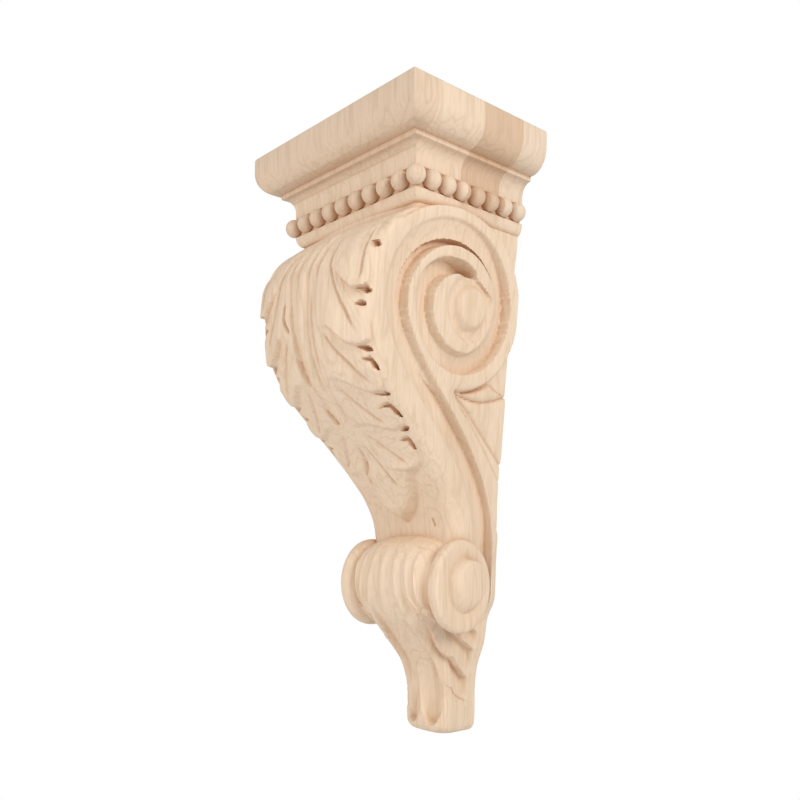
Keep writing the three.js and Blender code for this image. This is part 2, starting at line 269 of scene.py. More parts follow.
# %% The fan leaf behind the S
FAN_LINES = [
    [(33, 104.5), (25, 104.2), (20, 103.2), (15, 101.4), (11, 99), (5, 102), (-1, 103.5)],
    [(31, 105), (22, 106.6), (15, 107.2), (7, 105.6), (-1, 103)],
    [(31, 105), (22, 110.6), (15, 117.2), (6, 125.4), (-1, 132)],
    [(30, 106), (20, 114.4), (10, 125.4), (6, 130.4), (0, 138)],
]
FAN_SWELL = 2.2
SECOND_SWELL = 1.1
FAN_ROUNDING = 1.3
FAN_CUT = {"depth": 0.8, "width": 0.7}


def fan_height(y, t):
    """The small fan leaf behind the S, under the volute."""
    upper, middle, lower = (np.array(line, float) for line in FAN_LINES[:3])
    on_first = inside(np.concatenate([upper, middle[::-1]]), y, t)
    on_second = inside(np.concatenate([middle, lower[::-1]]), y, t)
    closest = np.minimum.reduce([near(np.array(line, float), y, t)[0] for line in FAN_LINES])
    swell = np.where(on_first | on_second, 1 - np.exp(-closest / FAN_ROUNDING), 0)
    line_cut = FAN_CUT["depth"] * np.clip(1 - closest / FAN_CUT["width"], 0, 1)
    return np.where(on_first, FAN_SWELL, SECOND_SWELL) * swell - line_cut


print("fan leaf:", len(FAN_LINES), "lines")


# %% Height of the whole flank
COVE_SAG = 0.9
WALL = (-0.55, 0.45)
OUTER_WALL = (-0.5, 0.5)
LAND_WEAR = (0.5, 1.4)
OUTER_WEAR = (0.6, 1.2)
WHORL_RADIUS = 21
LAND_THINS = {"share": 0.25, "from": 135, "to": 160}
BACK_SLOPE = {"drop": 2.6, "width": 7}
BEHIND = {"down": (100, 108), "forward": (50, 40)}
LAND_FADES = (184, 197)


def worn(gap, drop, width):
    """How much a worn edge is lowered at a distance from it."""
    return drop * (1 - np.minimum(gap / width, 1)) ** 2


def flank_height(y, t):
    """Height of the carving over the plain flank, in millimetres."""
    edge_gap, along = near(EDGE, y, t)
    groove_gap, _ = near(GROOVE, y, t)
    outer_gap, _ = near(OUTER, y, t)
    line_gap = np.minimum(edge_gap, groove_gap)
    share = edge_gap / (edge_gap + groove_gap + 1e-9)
    low, high = edge_height(along), groove_height(along)
    hollow = low + (high - low) * share - COVE_SAG * np.sin(math.pi * share)
    whorl, away = eye_height(y, t)
    in_whorl = (away < WHORL_RADIUS) & inside(WHORL, y, t)
    land = np.where(in_whorl, whorl, BAND) - worn(line_gap, *LAND_WEAR)
    behind = smooth(*BEHIND["down"], t) * smooth(*BEHIND["forward"], y)
    slope = behind * BACK_SLOPE["drop"] * smooth(BACK_SLOPE["width"], 0, outer_gap)
    thinned = 1 - LAND_THINS["share"] * smooth(LAND_THINS["from"], LAND_THINS["to"], t)
    lip = land * thinned - slope - worn(outer_gap, *OUTER_WEAR)
    cove = inside(np.concatenate([EDGE, GROOVE[::-1]]), y, t)
    height = hollow + (lip - hollow) * smooth(*WALL, np.where(cove, -line_gap, line_gap))
    ground = fan_height(y, t)
    step = smooth(*OUTER_WALL, np.where(inside(OUTER, y, t), outer_gap, -outer_gap))
    return (ground + (height - ground) * step) * (1 - smooth(*LAND_FADES, t))


beside = flank_height(np.array([60.0]), np.array([110.0]))
print("height of the land beside the S:", round(float(beside[0]), 2), "mm")


# %% [markdown]
# ## The acanthus leaf
# The leaf grows down from the neck. Its lobes lie over each other like shingles: the lower edge of one stands
# over the next, with a drilled eye where they part and small drilled pockets between the leaflets. Veins run
# from the midrib to the tip of each lobe. All of it is cut into one swelling surface, so here it is a height
# over the front, made of the leaf's outline, its lobes, its veins and its pockets. Four short slots beside
# the midrib are only on the left half, and a small chip under the leaf only on the right, as on the real one.

# %% Drawing of one half of the leaf
LOBE_LINES = [
    [(0, 37), (20, 38), (34, 40)],
    [(0, 61), (12, 62.5), (18, 64.5), (20.5, 67), (24, 70.5), (27.5, 73.5), (34, 76.5)],
    [(0, 83.5), (10, 84.5), (15.5, 85.2), (18, 87.5), (21.5, 91), (25, 92.7), (34, 94)],
    [(0, 102), (6, 102.5), (13, 103), (18, 106), (23, 108.3), (34, 111)],
    [(0, 117.5), (13, 118.5), (21, 120.8), (34, 122)],
    [(0, 131), (5, 132), (10, 134.5), (21, 135.5), (34, 136)],
    [(0, 158), (34, 158)],
]
LOBE_EYES = [0, 18, 11, 7, 8, 7, 40]
LOBE_STEPS = [0, 3.2, 3.2, 3.0, 2.8, 2.4, 0]
VEINS = [
    [(13, 44), (15, 55), (15.6, 61), (16.6, 66), (18, 70), (20.4, 75.5), (23.6, 81), (26.8, 87), (29, 91)],
    [(10.6, 85.6), (13, 89), (15.8, 93.4), (19.4, 97.4), (22, 101), (24.6, 104), (27.4, 107.2)],
    [(8.6, 104.2), (11.8, 108.9), (15.2, 113.4), (18.9, 117.2), (22, 119.8)],
    [(6.6, 120.4), (8.6, 122.8), (11.6, 125.8), (14.6, 129.2), (19, 133)],
    [(2, 124), (2.4, 128), (4, 132.4), (6, 136), (8, 142)],
    [(29, 50), (30.2, 56), (31, 62), (30.8, 68), (29.6, 72)],
]
RIB_LINES = [
    [(3.6, 48), (3.4, 62), (3.2, 80), (2.4, 96), (1.6, 114)],
    [(8.2, 44), (8.8, 58), (8.2, 66), (6.8, 78), (5.6, 92), (4.4, 104)],
    [(5.8, 60), (5.6, 74), (4.6, 90), (3.6, 110), (2.6, 124)],
]
SLOTS = [
    [(10.5, 71.6), (11.4, 77.9), (8, 84.6)],
    [(6.4, 92.8), (5.8, 98), (5.2, 104.3)],
    [(5.4, 110.9), (4.6, 114), (3.8, 117.4)],
    [(3.4, 129.6), (5, 132.6), (8.2, 136.4)],
]
# Each pocket has its path, its width, and its depth in millimetres
POCKETS = [
    ([(28, 73.0), (33.2, 74.8)], 1.05, 5),
    ([(26.8, 78.5), (31.6, 79.2)], 0.85, 4.5),
    ([(25.2, 92.8), (30.6, 94.6)], 0.95, 5),
    ([(25.4, 97.6), (29, 97.5), (30.2, 101)], 0.9, 4.5),
    ([(22.8, 108.6), (28.8, 108.8)], 0.75, 4),
    ([(21.8, 113.4), (26.2, 112.4), (27.6, 116.2)], 0.95, 4.5),
    ([(22.6, 121), (27.2, 120)], 0.8, 4),
    ([(20.4, 124.4), (24.3, 123.6), (24.4, 127)], 0.9, 4),
    ([(31.6, 56.6), (35, 58.6)], 1.2, 4.5),
]
CHIPS = [[(14.5, 152.9), (15.6, 156.9)]]
LEAF_EDGE = through([
    (39, 28), (46, 30), (55, 32.6), (59, 34), (66, 34.2), (72, 33.4), (74.8, 30.4), (77, 31.4), (79.2, 30.2),
    (84, 32.2), (91, 31.8), (94, 28.4), (97, 29.4), (99, 28.6), (101.4, 30), (106, 29), (108.8, 27.4),
    (112, 27.2), (116, 27.8), (119, 26.6), (121, 24.6), (123.4, 24.8), (125.4, 23.4), (128.5, 24.1),
    (131.5, 23), (134, 21), (135.6, 17.6), (139, 14.6), (144, 11.6), (149.8, 7.6), (153.4, 3), (155, 0.4),
    (156, 0),
])
CROWN = through([
    (39, 2), (46, 4), (56, 5.6), (66, 6.4), (100, 6.4), (128, 4.6), (142, 3), (150, 1.6), (155, 0),
])
THICK = through([(39, 0.2), (50, 0.3), (60, 0.4), (74, 0.8), (100, 1.2), (130, 1.8), (137, 5), (150, 6),
                 (154, 3.6), (156, 0)])
print("leaf:", len(VEINS), "veins and", len(POCKETS), "pockets on each half")


# %% Cuts and heights of the leaf
# Each vein is cut four times: how far aside, how wide, and how deep in millimetres
VEIN_CUTS = [(0, 1.1, 1.7), (1.6, 3.6, 1.0), (-2.6, 0.8, 0.35), (-4.4, 0.8, 0.3)]
RIB_CUT = (2.3, 2.2)
SLOT_CUT = (1.3, 2.6)
CHIP_CUT = (0.8, 1.6)
CUT_ENDS = (0.12, 0.8)
CUT_CURVE = 1.4
CROWN_CURVE = 2.2
LOBE_PARTING = (4, 8)
LOBE_RISE = {"share": 0.55, "curve": 2.4}
LOBE_CURL = {"share": 0.05, "from": 0.86, "to": 0.94}
LOBE_LIP = {"share": 0.1, "from": 0.96, "to": 1}
LOBE_SINK = {"share": 0.45, "curve": 2.5}
LOBE_FALL = 0.55
POCKET_POINT = {"least": 0.12, "more": 0.88, "speed": 1.6}
POCKET_END = {"less": 0.5, "from": 0.85}
POCKET_WALL = (0.55, 1.15)
POCKET_RAMP = (-0.1, 0.45)
LEAF_FOOT = 156
LEAF_RIM = {"top": 0.8, "more": 2.2, "levels": (132, 138)}


def line_at(points, x):
    return np.interp(x, [p[0] for p in points], [p[1] for p in points])


def groove(path, x, t, width, depth):
    """Depth of a groove along a path, which starts and ends in nothing."""
    gap, along = near(np.array(path, float), x, t)
    ends = smooth(0, CUT_ENDS[0], along) * (1 - smooth(CUT_ENDS[1], 1.0, along))
    return depth * ends * np.clip(1 - gap / width, 0, 1) ** CUT_CURVE


def lobe_profile(above, below, past):
    """A lobe's rise to its lower edge and the hollow under that edge, as shares of the lobe's step."""
    rise = LOBE_RISE["share"] * above ** LOBE_RISE["curve"]
    rise = rise + LOBE_CURL["share"] * smooth(LOBE_CURL["from"], LOBE_CURL["to"], above)
    rise = rise - LOBE_LIP["share"] * smooth(LOBE_LIP["from"], LOBE_LIP["to"], above)
    sunk = -LOBE_SINK["share"] * (1 - below) ** LOBE_SINK["curve"]
    return rise + (sunk - rise) * smooth(-LOBE_FALL, LOBE_FALL, past)


def leaf_height(x, t, slots):
    """Height of the leaf in millimetres, x from the middle on the drawing, and where the leaf is."""
    edge = np.maximum(LEAF_EDGE(t), 0.01)
    share = np.clip(x / edge, 0, 1)
    rim = LEAF_RIM["top"] + LEAF_RIM["more"] * smooth(*LEAF_RIM["levels"], t)
    on_leaf = smooth(0, rim, edge - x) * (t < LEAF_FOOT)
    height = CROWN(t) * (1 - share ** CROWN_CURVE) + THICK(t)
    for k in range(1, len(LOBE_LINES) - 1):
        upper, here, lower = (line_at(LOBE_LINES[k + d], x) for d in (-1, 0, 1))
        parting = (LOBE_EYES[k] - LOBE_PARTING[0], LOBE_EYES[k] + LOBE_PARTING[1])
        reach = smooth(*parting, x) * LOBE_STEPS[k]
        above = np.clip((t - upper) / (here - upper), 0, 1)
        below = np.clip((t - here) / (lower - here), 0, 1)
        height = height + reach * lobe_profile(above, below, t - here)
    for vein in VEINS:
        for shift, width, depth in VEIN_CUTS:
            height = height - groove(vein, x + shift, t, width, depth)
    for rib in RIB_LINES:
        height = height - groove(rib, x, t, *RIB_CUT)
    for slot in slots:
        height = height - groove(slot, x, t, *SLOT_CUT)
    return height, on_leaf


def pocket_depth(x, t):
    """Drilled pockets, as wedges that open towards the leaf's edge."""
    depth = np.zeros(x.shape)
    for path, width, deep in POCKETS:
        gap, along = near(np.array(path, float), x, t)
        opening = POCKET_POINT["least"] + POCKET_POINT["more"] * np.minimum(along * POCKET_POINT["speed"], 1)
        half = width * opening * (1 - POCKET_END["less"] * smooth(POCKET_END["from"], 1, along))
        sunk = deep * (1 - smooth(*POCKET_WALL, gap / half)) * smooth(*POCKET_RAMP, along)
        depth = np.maximum(depth, sunk)
    return depth


print("leaf's crown at its fullest:", round(float(CROWN(80) + THICK(80)), 1), "mm over the plain front")


# %% [markdown]
# ## The fluted tail
# The tail is a tongue of long flutes that curls over the roll and fans out down to the foot, where two flutes
# end in round scoops. Ridges that start at the roll's ends sweep back over the flanks as fins. Each ridge is
# one line in the drawing, measured round the section from the middle of the front. On the roll a flute is an
# even hollow between two ridges. Lower down its floor leans, so that it ends in a steep wall under a fin.

# %% Ridge lines of the tail
TAIL_TOP = 159
TAIL_FRONT = through([
    (159, 24), (161, 29.6), (163, 34.6), (166, 38.6), (171, 41.6), (180, 42.8), (190, 40.6), (194, 37.8),
    (198, 34.2), (205, 28.6), (214, 22.8), (222, 20.8), (236, 20), (239, 20), (241, 19.2), (242.3, 17.8),
    (243, 16),
])
TAIL_TUCK = through([(161, 5), (185, 6), (200, 10), (216, 6), (236, 3)])
TAIL_HALF = 19
TAIL_ARCH = 5
TAIL_DROP = 4
RIDGES = [
    through([(161, 0), (240, 0)]),
    through([(161, 6.5), (182, 8.5), (190, 10.6), (197, 11.3), (206, 11.1), (213, 11.1), (220, 11.6),
             (225.7, 13.6), (229.2, 19.4), (233, 29), (240, 48)]),
    through([(161, 12.4), (183.6, 14.7), (190.4, 16.6), (197.6, 16.8), (205.9, 15.2), (212.6, 16.2),
             (219.9, 21.9), (224, 28), (240, 60)]),
    through([(161, 17), (182, 18.4), (188.7, 19), (194.6, 19.9), (200.3, 23.4), (204.9, 27.1), (209.6, 31),
             (214, 37), (240, 72)]),
    through([(161, 25), (190, 28), (200, 36), (206, 44), (240, 84)]),
]
SCOOP_EDGE = through([(161, 6.5), (182, 7.8), (190, 9.4), (206, 10.4), (220, 10.8), (236, 11.5)])
FLUTE_DEEP = through([(161, 0.4), (172, 1.0), (180, 1.6), (190, 2.9), (205, 4.4), (220, 4.8), (236, 5.4)])
print("ridges on each half of the tail:", len(RIDGES))


# %% Depth of the flutes
FIN_SWEEP = (184, 198)
FIN_FLOOR = 0.8
FIN_WALL = 0.86
FLUTE_CURVES = {"even": 1.1, "fin": 0.85, "scoop": 0.85}
SCOOPS = (214, 230)
SCOOP_FOOT = 239.2
SCOOP_ROUND = 5.5
SCOOP_LIP = 1.5
FLUTES_BEGIN = (160.5, 168)
FIN_STEP = {"rise": 0.9, "width": (9, 0.4), "levels": (219, 223)}


def flute_profile(share, t, is_scoop):
    """Depth across one flute as a share of its full depth: even, then leaning, and round in a scoop."""
    even = np.sin(math.pi * share) ** FLUTE_CURVES["even"]
    fin = np.minimum(share / FIN_FLOOR, 1) ** FLUTE_CURVES["fin"] * (1 - smooth(FIN_WALL, 1.0, share))
    flute = even + (fin - even) * smooth(*FIN_SWEEP, t)
    if is_scoop:
        scoop = np.sin(math.pi * share) ** FLUTE_CURVES["scoop"]
        flute = flute + (scoop - flute) * smooth(*SCOOPS, t)
    return flute


def flute_depth(q, t):
    """Depth of the flutes in millimetres, at q round the section from the middle of the front."""
    lines = [ridge(t) for ridge in RIDGES]
    scoop_edge = SCOOP_EDGE(t)
    depth = np.zeros(q.shape)
    for k in range(len(lines) - 1):
        far = scoop_edge if k == 0 else lines[k + 1]
        share = np.clip((q - lines[k]) / (far - lines[k]), 0, 1)
        depth = np.where((q >= lines[k]) & (q < far), flute_profile(share, t, k == 0), depth)
    in_scoop = q < scoop_edge
    middle = in_scoop * np.abs(np.cos(math.pi * np.clip(q / scoop_edge, 0, 1)))
    scoop_end = SCOOP_FOOT - SCOOP_ROUND * middle ** 4
    ended = np.where(in_scoop, 1 - smooth(scoop_end - SCOOP_LIP, scoop_end, t), 1)
    beside = (q >= scoop_edge) & (q < lines[1])
    step = FIN_STEP["rise"] * np.where(beside, smooth(*FIN_STEP["width"], lines[1] - q), 0)
    return FLUTE_DEEP(t) * depth * smooth(*FLUTES_BEGIN, t) * ended + step * smooth(*FIN_STEP["levels"], t)


print("depth of the scoops at the foot:", round(float(FLUTE_DEEP(236)), 1), "mm")


# %% [markdown]
# ## One wrapped sheet for the scroll
# From the back edge of one flank, round the front, to the back edge of the other, the scroll's surface is one
# sheet. A grid is added as a primitive and each of its rows becomes one level section, with columns gathered
# on the flank, the rounded corner and the front. Sculpting such a grid by formula keeps both halves alike and
# lets the carving be as fine as the grid. Its open back is then bridged and its ends filled.

# %% Sections of the sheet
ROWS = 440
FLANK_COLUMNS = 124
CORNER_COLUMNS = 26
FRONT_COLUMNS = 104
SHEET_TOP = 34
FINE_STEPS = 4000
CORNER_LIMIT = 0.45


def row_levels():
    """Drawing levels from inside the cap to the toe, evenly spaced along the front's outline."""
    fine = np.linspace(SHEET_TOP, DRAWN["foot"], FINE_STEPS)
    front = np.where(fine > TAIL_TOP, TAIL_FRONT(fine), FRONT(fine)) * UNIT
    length = np.concatenate([[0], np.cumsum(np.hypot(np.diff(front), np.diff(level(fine))))])
    return np.interp(np.linspace(0, length[-1], ROWS), length, fine)


def half_section():
    """Right half of the sheet: [row, column, xyz] from the back edge to the middle of the front."""
    t = row_levels()[:, None]
    reach = FRONT(t) * UNIT
    corner = np.minimum(CORNER(t) * MM, CORNER_LIMIT * reach)
    back = np.linspace(0, 1, FLANK_COLUMNS)[None, :]
    y_flank = back * (reach - corner)
    height = flank_height(y_flank / UNIT, np.broadcast_to(t, y_flank.shape)) * MM
    half = flank(t)
    sides = np.stack([half + height, y_flank, np.broadcast_to(level(t), y_flank.shape)], -1)
    turn = np.linspace(0, math.pi / 2, CORNER_COLUMNS + 1)[None, 1:]
    outer = half + height[:, -1:]
    bend = np.stack([
        outer - corner * (1 - np.cos(turn)),
        reach - corner * (1 - np.sin(turn)),
        np.broadcast_to(level(t), (len(t), CORNER_COLUMNS)),
    ], -1)
    run = np.linspace(1, 0, FRONT_COLUMNS + 1)[None, 1:]
    face = np.stack([
        (outer - corner) * run,
        np.broadcast_to(reach, (len(t), FRONT_COLUMNS)),
        np.broadcast_to(level(t), (len(t), FRONT_COLUMNS)),
    ], -1)
    points = np.concatenate([sides, bend, face], 1)
    lean = np.concatenate([np.zeros_like(back), turn, np.full_like(run, math.pi / 2)], 1)
    return np.broadcast_to(t, points.shape[:2]), points, np.broadcast_to(lean, points.shape[:2])


LEVELS, PLAIN, LEAN = half_section()
print("plain half sheet:", PLAIN.shape[0], "rows by", PLAIN.shape[1], "columns")


# %% Carving the sheet
TAIL_FREE = (188, 203)
ARCH_LEVELS = (176, 168)
TUCK_SHARE = 0.85
TAIL_SIDE = (TAIL_HALF - 1.2, TAIL_HALF + 1.4)
FIN_BACK = (4.2, 6.6)
TURNED = LEAN > 0
FREE = smooth(*TAIL_FREE, LEVELS)


def carve_leaf(points, slots, chips):
    """Raises the leaf and sinks its pockets, square to the plain surface."""
    x = points[..., 0] / UNIT
    leaf, on_leaf = leaf_height(x, LEVELS, slots)
    rise = leaf * on_leaf - pocket_depth(x, LEVELS)
    for chip in chips:
        rise = rise - groove(chip, x, LEVELS, *CHIP_CUT)
    rise = np.where(TURNED, rise, 0)
    points[..., 0] += np.cos(LEAN) * rise * MM
    points[..., 1] += np.sin(LEAN) * rise * MM


def lay_tail(points):
    """Lays the tail's tongue over the roll, with an arched top, until it becomes the section itself."""
    across = np.clip(points[..., 0] / flank(LEVELS), 0, 1)
    tuck = (1 - np.sqrt(1 - TUCK_SHARE * across ** 2)) * TAIL_TUCK(LEVELS) * MM
    arched = LEVELS - TAIL_ARCH * across ** 3 * smooth(*ARCH_LEVELS, LEVELS)
    drop = TAIL_DROP * MM * smooth(*TAIL_SIDE, points[..., 0] / UNIT)
    over = np.maximum(points[..., 1], TAIL_FRONT(arched) * UNIT - tuck - drop)
    on_tail = (LEVELS > TAIL_TOP) & TURNED
    points[..., 1] = np.where(on_tail, over + (points[..., 1] - over) * FREE, points[..., 1])


def cut_flutes(points):
    """Cuts the flutes forward on the roll, and square to the section below it."""
    side = points[:, FLANK_COLUMNS - 1:FLANK_COLUMNS]
    around = np.where(TURNED, points[..., 0], side[..., 0] + side[..., 1] - points[..., 1]) / UNIT
    cut = np.where(LEVELS > TAIL_TOP, flute_depth(around, LEVELS), 0) * MM
    cut = np.where(TURNED, cut, cut * FREE * smooth(*FIN_BACK, points[..., 1] / UNIT))
    points[..., 0] -= cut * np.cos(LEAN) * FREE
    points[..., 1] -= cut * np.where(TURNED, 1 + (np.sin(LEAN) - 1) * FREE, 0)


def carved_half(slots, chips):
    points = PLAIN.copy()
    carve_leaf(points, slots, chips)
    lay_tail(points)
    cut_flutes(points)
    return points


left_half = carved_half(SLOTS, [])
right_half = carved_half([], CHIPS)
whole = np.concatenate([left_half * [-1, 1, 1], right_half[:, -2::-1]], 1)
whole[..., 1] *= -1
print("sheet:", whole.shape[0], "rows by", whole.shape[1], "columns")


# %% Helpers for modelling by hand
def select_nothing():
    if bpy.context.object and bpy.context.object.mode != "OBJECT":
        bpy.ops.object.mode_set(mode="OBJECT")
    bpy.ops.object.select_all(action="DESELECT")


def take(obj, mode="OBJECT"):
    select_nothing()
    obj.select_set(True)
    bpy.context.view_layer.objects.active = obj
    bpy.ops.object.mode_set(mode=mode)


def added(name):
    obj = bpy.context.active_object
    obj.name = name
    obj.data.name = name
    return obj


def select_edges(obj, test):
    """In edit mode, selects the edges for which test(first corner, second corner) holds."""
    mesh = bmesh.from_edit_mesh(obj.data)
    bpy.ops.mesh.select_all(action="DESELECT")
    bpy.ops.mesh.select_mode(type="EDGE")
    for edge in mesh.edges:
        if edge.is_boundary and test(edge.verts[0].co, edge.verts[1].co):
            edge.select_set(True)
    bmesh.update_edit_mesh(obj.data)


def count(obj):
    return sum(len(p.vertices) - 2 for p in obj.data.polygons)


# %% Wrap a grid into the scroll
select_nothing()
rows, columns = whole.shape[:2]
bpy.ops.mesh.primitive_grid_add(x_subdivisions=columns - 1, y_subdivisions=rows - 1, size=2)
scroll = added("scroll")
corner_count = len(scroll.data.vertices)
flat = np.empty(corner_count * 3)
scroll.data.vertices.foreach_get("co", flat)
flat = flat.reshape(-1, 3)
across = np.rint((flat[:, 0] + 1) / 2 * (columns - 1)).astype(int)
down = np.rint((1 - flat[:, 1]) / 2 * (rows - 1)).astype(int)
scroll.data.vertices.foreach_set("co", whole[down, across].ravel())
scroll.data.update()
print("grid corners:", corner_count, "of", rows * columns)


# %% Close the back and the ends
ON_WALL = 1e-6
take(scroll, "EDIT")
select_edges(scroll, lambda a, b: abs(a.y) < ON_WALL and abs(b.y) < ON_WALL)
bpy.ops.mesh.bridge_edge_loops()
select_edges(scroll, lambda a, b: True)
bpy.ops.mesh.edge_face_add()
bpy.ops.mesh.select_all(action="SELECT")
bpy.ops.mesh.normals_make_consistent(inside=False)
bpy.ops.object.mode_set(mode="OBJECT")
print("scroll faces:", len(scroll.data.polygons))


# %% [markdown]
# ## The cap
# The cap is a stack of mouldings that a router or a plane would run round three sides: an ovolo under the
# rounded top edge, a fillet, a cove and a plain frieze, then the bed for the beads and a quarter round down
# to the neck. A plane is extruded downwards step by step, and each new ring is scaled about the middle of
# the back, so that the back stays flat against the wall.

# %% Rings of the mouldings, as inset from the cap's edge and drop from its top
ROUNDED_TOP = [(1.7, 0), (0.8, 0.25), (0.25, 0.9), (0.05, 2.2)]
OVOLO = {"drop": 21.5, "reach": 10.0, "share": 0.42, "steps": 12}
COVE = {"drop": 7.5, "reach": 5.9, "steps": 10}
FILLET = 2.5
FILLET_STEP = 1.0
FRIEZE = 4.2
BEAD = 4.95
BEAD_BED = {"inset": 1.6, "top": 1.0, "foot": 0.8}
FRIEZE_EDGE = 0.5
BAND_DROP = 6.0
BAND_STEPS = 7
NECK_SINK = 0.6
SOFT = 0.2


def quarter_turn(first, steps):
    """1 less the cosine, and the sine, at even steps of a quarter turn."""
    turns = [i / steps * math.pi / 2 for i in range(first, steps + 1)]
    return [(1 - math.cos(turn), math.sin(turn)) for turn in turns]


def cap_rings():
    bulge = OVOLO["drop"] * OVOLO["share"]
    rings = ROUNDED_TOP + [(0, bulge)]
    rings += [(OVOLO["reach"] * slow, bulge + (OVOLO["drop"] - bulge) * quick)
              for slow, quick in quarter_turn(1, OVOLO["steps"])]
    ledge = OVOLO["reach"] + FILLET_STEP
    cove_top = OVOLO["drop"] + FILLET
    rings += [(ledge, OVOLO["drop"] + SOFT / 2), (ledge, cove_top - SOFT), (ledge + SOFT, cove_top)]
    rings += [(ledge + COVE["reach"] * quick, cove_top + COVE["drop"] * slow)
              for slow, quick in quarter_turn(1, COVE["steps"])]
    inset = ledge + COVE["reach"]
    foot = cove_top + COVE["drop"] + FRIEZE
    band = foot + 2 * BEAD
    neck = (CAP_HALF - NECK_HALF) / MM
    bed = inset + BEAD_BED["inset"]
    rings += [(inset, foot - FRIEZE_EDGE), (inset + FRIEZE_EDGE, foot), (bed, foot + BEAD_BED["top"]),
              (bed, band - BEAD_BED["foot"]), (inset + SOFT, band)]
    rings += [(inset + (neck + NECK_SINK - inset) * slow, band + SOFT + BAND_DROP * quick)
              for slow, quick in quarter_turn(0, BAND_STEPS)]
    return rings, inset, foot


RINGS, BEAD_INSET, FRIEZE_FOOT = cap_rings()
print("frieze ends", FRIEZE_FOOT, "mm below the cap's top,", round(BEAD_INSET, 1), "mm in from its edge")


# %% Extrude the cap ring by ring
def ringed(name, rings, place):
    """Extrudes a face down through rings. place(ring) gives each ring's centre, half width and depth."""
    select_nothing()
    bpy.ops.mesh.primitive_plane_add(size=2, location=(0, 0, 0))
    obj = added(name)
    take(obj, "EDIT")
    centre, half, depth = place(rings[0])
    bpy.ops.transform.translate(value=(0, -1, 0))
    bpy.ops.transform.resize(value=(half, depth / 2, 1), center_override=(0, 0, 0))
    bpy.ops.transform.translate(value=centre)
    for ring in rings[1:]:
        last = (centre, half, depth)
        centre, half, depth = place(ring)
        step = [b - a for a, b in zip(last[0], centre)]
        bpy.ops.mesh.extrude_region_move(TRANSFORM_OT_translate={"value": step})
        bpy.ops.transform.resize(value=(half / last[1], depth / last[2], 1), center_override=centre)
    bpy.ops.mesh.select_all(action="SELECT")
    bpy.ops.mesh.normals_make_consistent(inside=False)
    bpy.ops.object.mode_set(mode="OBJECT")
    return obj


cap = ringed("cap", RINGS, lambda r: ((0, 0, TOP - r[1] * MM), CAP_HALF - r[0] * MM, CAP_DEPTH - r[0] * MM))
print("cap rings:", len(RINGS), "faces:", len(cap.data.polygons))


# %% [markdown]
# ## Beads
# The carver rounds the beads from one strip left standing under the frieze: ten across the front, with one
# on each corner, and seven more down each side. One sphere is modelled and copied to every place.

# %% One bead, copied along the frieze
BEADS_ACROSS = 10
BEADS_DEEP = 7
BEAD_SINK = 0.6
LAST_GAP = 0.5


def bead_places():
    inset = BEAD_INSET - BEAD_SINK
    half = CAP_HALF - inset * MM
    front = CAP_DEPTH - inset * MM
    z = TOP - (FRIEZE_FOOT + BEAD) * MM
    places = [(-half + 2 * half * i / (BEADS_ACROSS - 1), -front, z) for i in range(BEADS_ACROSS)]
    for i in range(1, BEADS_DEEP + 1):
        y = -front * (1 - i / (BEADS_DEEP + LAST_GAP))
        places += [(-half, y, z), (half, y, z)]
    return places


select_nothing()
bpy.ops.mesh.primitive_uv_sphere_add(segments=20, ring_count=12, radius=BEAD * MM)
bead = added("bead")
beads = []
for place in bead_places():
    copy = bpy.data.objects.new("bead", bead.data.copy())
    bpy.context.collection.objects.link(copy)
    copy.data.transform(Matrix.Translation(place))
    beads.append(copy)
bpy.data.objects.remove(bead)
print("beads:", len(beads))


# %% [markdown]
# ## The roll
# Two oval discs close the roll, one on each flank. Each swells out from the flank to a rounded rim, has a
# nearly flat face, and carries a button that flares at its foot like a trumpet. A circle is extruded outwards
# ring by ring, and moving the last rings a little back and up sets the button off the disc's centre. The
# left disc lies a touch further forward and is a little longer, as the photograph's left outline shows.

# %% Rings of one disc, as [share of the oval, height in mm, centre forward, centre down]
DISC_OVALS = {1: (21.3, 25.3), -1: (22.2, 25.3)}
DISC_BACK = {1: 1.6, -1: 0}
DISC_CORNERS = 112
DISC_RINGS = [
    (0.55, 8, 25, 180.5), (0.66, 23, 25, 180.5), (0.69, 25.8, 25, 180.5), (0.74, 27.6, 25, 180.5),
    (0.82, 29, 25, 180.5), (0.91, 30.4, 25, 180.5), (0.97, 32, 25, 180.5), (0.995, 33.8, 25, 180.5),
    (1.0, 35.6, 25, 180.5), (0.99, 37.2, 25, 180.5), (0.955, 38.2, 25, 180.5), (0.9, 38.6, 25, 180.5),
    (0.8, 38.5, 25, 180.5), (0.7, 38.1, 24.4, 180.3), (0.63, 37.7, 24, 180.2), (0.6, 37.6, 23.8, 180.1),
    (0.575, 38.1, 23.7, 180), (0.55, 39.2, 23.5, 179.8), (0.51, 40.8, 23.1, 179.4), (0.47, 42, 22.7, 179),
    (0.44, 42.6, 22.4, 178.6), (0.4, 42.9, 22.2, 178.4), (0.2, 43.1, 22.2, 178.4),
]


